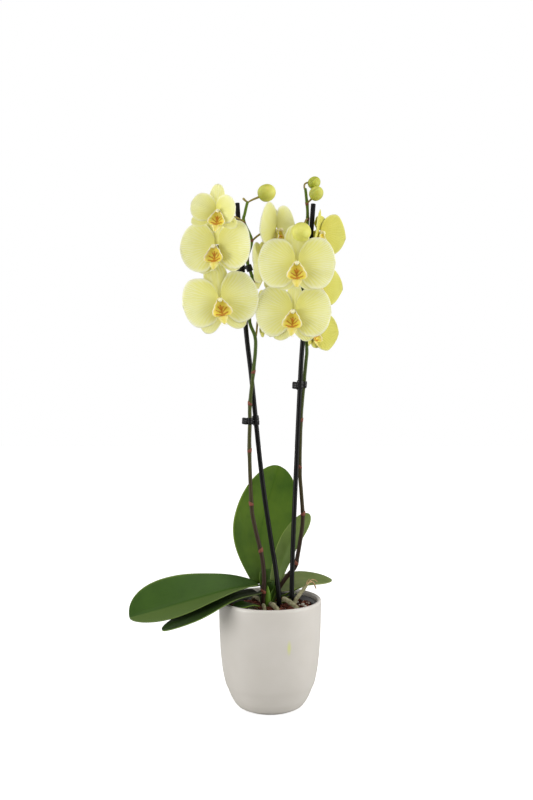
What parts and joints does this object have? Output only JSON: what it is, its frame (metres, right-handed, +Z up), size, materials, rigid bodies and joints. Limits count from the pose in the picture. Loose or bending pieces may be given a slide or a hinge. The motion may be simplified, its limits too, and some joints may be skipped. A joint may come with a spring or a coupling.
{
  "type": "potted orchid",
  "caption": "Moth orchid with arching yellow flower sprays tied to support sticks, strap leaves and aerial roots, in a grow pot inside a plain ceramic cover pot.",
  "frame": {"origin": "centre of the cover pot's flat base, on the surface it stands on", "axes": "+Z up along the pot's axis; the flowers face -Y; +X to the right seen from the flowers' side"},
  "size_m": [0.2746, 0.1421, 0.6747],
  "materials": {
    "ceramic": "satin",
    "grow_pot": "satin",
    "bark": "matte",
    "leaf": "satin",
    "stem": "satin",
    "stick": "satin",
    "clip": "satin",
    "root": "matte",
    "petal": "satin",
    "lip": "satin",
    "bud": "satin"
  },
  "bodies": {
    "root": {"cover_pot": "ceramic", "grow_pot": "grow_pot", "bark": "bark", "crown": "leaf", "leaf_left_upper": "leaf", "leaf_left_lower": "leaf", "leaf_left_small": "leaf", "leaf_back": "leaf", "leaf_right_upright": "leaf", "leaf_right_low": "leaf", "stick_left": "stick", "stick_right": "stick", "spike_left": "stem", "spike_right": "stem", "clip_left_low": "clip", "clip_left_high": "clip", "clip_right": "clip", "root_front": "root", "root_middle": "root", "root_right": "root", "root_over_rim": "root", "root_tip": "root", "flower_left_1_sepals": "petal", "flower_left_1_petals": "petal", "flower_left_1_lip": "lip", "flower_left_2_sepals": "petal", "flower_left_2_petals": "petal", "flower_left_2_lip": "lip", "flower_left_3_sepals": "petal", "flower_left_3_petals": "petal", "flower_left_3_lip": "lip", "flower_left_4_sepals": "petal", "flower_left_4_petals": "petal", "flower_left_4_lip": "lip", "flower_left_5_sepals": "petal", "flower_left_5_petals": "petal", "flower_left_5_lip": "lip", "flower_left_6_sepals": "petal", "flower_left_6_petals": "petal", "flower_left_6_lip": "lip", "flower_right_1_sepals": "petal", "flower_right_1_petals": "petal", "flower_right_1_lip": "lip", "flower_right_2_sepals": "petal", "flower_right_2_petals": "petal", "flower_right_2_lip": "lip", "flower_right_3_sepals": "petal", "flower_right_3_petals": "petal", "flower_right_3_lip": "lip", "flower_right_4_sepals": "petal", "flower_right_4_petals": "petal", "flower_right_4_lip": "lip", "flower_right_5_sepals": "petal", "flower_right_5_petals": "petal", "flower_right_5_lip": "lip", "bud_left": "bud", "bud_right_round": "bud", "bud_right_middle": "bud", "bud_right_top": "bud"}
  },
  "joints": []
}
